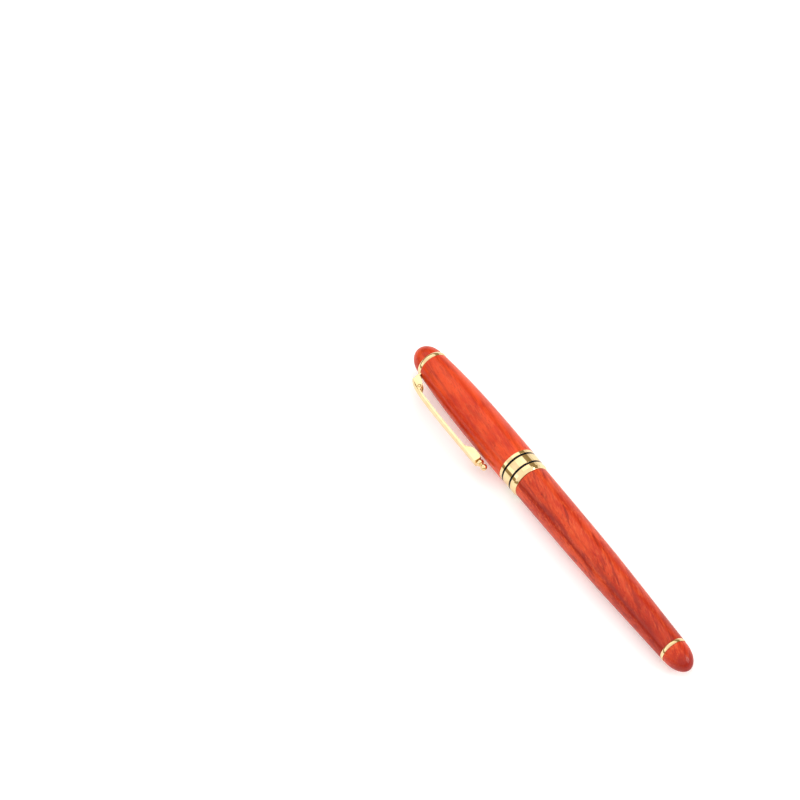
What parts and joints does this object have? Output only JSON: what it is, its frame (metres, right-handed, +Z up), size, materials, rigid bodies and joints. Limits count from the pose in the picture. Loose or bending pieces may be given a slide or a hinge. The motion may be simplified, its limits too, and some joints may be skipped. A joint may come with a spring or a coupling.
{
  "type": "rollerball pen",
  "caption": "Capped rollerball pen in red-orange wood with polished gold trim, a ball-tipped pocket clip and a screw-in writing section with a spring-loaded refill.",
  "frame": {"origin": "on the pen's axis, in the middle of the wide gold part of the centre band", "axes": "+X along the pen's axis towards the tail end of the barrel, cap towards -X, clip towards -Y, +Z up"},
  "size_m": [0.1377, 0.0159, 0.0122],
  "materials": {
    "rosewood": "satin lacquer over red-orange rosewood",
    "gold_plate": "mirror polished pale gold plate",
    "brass": "plain machined brass",
    "black_enamel": "gloss black enamel",
    "black_resin": "polished black resin",
    "white_plastic": "moulded natural plastic",
    "refill_steel": "drawn stainless steel",
    "ink_fibre": "ink-soaked bonded fibre",
    "carbide": "polished carbide"
  },
  "bodies": {
    "barrel": {"barrel_tube": "rosewood", "tail_finial": "rosewood", "barrel_liner": "brass", "thread_bushing": "brass", "tail_plug": "brass", "tail_stud": "brass", "tail_ring": "gold_plate", "refill_spring": "refill_steel"},
    "refill": {"refill_tube": "refill_steel", "refill_plug": "white_plastic", "ink_reservoir": "ink_fibre", "refill_holder": "white_plastic", "refill_wick": "ink_fibre", "refill_tip": "refill_steel"},
    "writing_ball": {"writing_ball": "carbide"},
    "section": {"section_sleeve": "brass", "section_ring": "gold_plate", "grip_section": "black_resin", "nose_cone": "gold_plate"},
    "snap_ring": {"snap_ring": "white_plastic"},
    "cap": {"cap_tube": "rosewood", "cap_finial": "rosewood", "centre_band": "gold_plate", "cap_finial_ring": "gold_plate", "clip_mount": "gold_plate", "clip_rivet": "gold_plate", "band_inlays": "black_enamel", "cap_liner": "brass", "cap_nut": "brass", "cap_finial_stud": "brass", "inner_cap": "white_plastic"},
    "clip": {"clip": "gold_plate", "clip_ball": "gold_plate"}
  },
  "joints": [
    {"name": "section_advance", "type": "slide", "parent": "barrel", "child": "refill", "axis": [-1, 0, 0], "range_m": [0, 0.0065], "deforming": ["refill_spring"]},
    {"name": "section_turn", "type": "hinge", "parent": "refill", "child": "section", "pos_m": [0, 0, 0], "axis": [-1, 0, 0], "range_deg": [0, 2340]},
    {"name": "ball_roll", "type": "hinge", "parent": "refill", "child": "writing_ball", "pos_m": [-0.04205, 0, 0], "axis": [0, 0, 1], "continuous": true},
    {"name": "cap_turn", "type": "hinge", "parent": "section", "child": "snap_ring", "pos_m": [0, 0, 0], "axis": [1, 0, 0], "continuous": true},
    {"name": "cap_pull", "type": "slide", "parent": "snap_ring", "child": "cap", "axis": [-1, 0, 0], "range_m": [0, 0.065]},
    {"name": "clip_flex", "type": "hinge", "parent": "cap", "child": "clip", "pos_m": [-0.04445, -0.00765, 0], "axis": [0, 0, -1], "range_deg": [0, 4], "stiffness_Nm_per_rad": 2}
  ],
  "couplings": [
    {"joint": "section_turn", "follows": "section_advance", "rad_per_m": 6283.2}
  ]
}
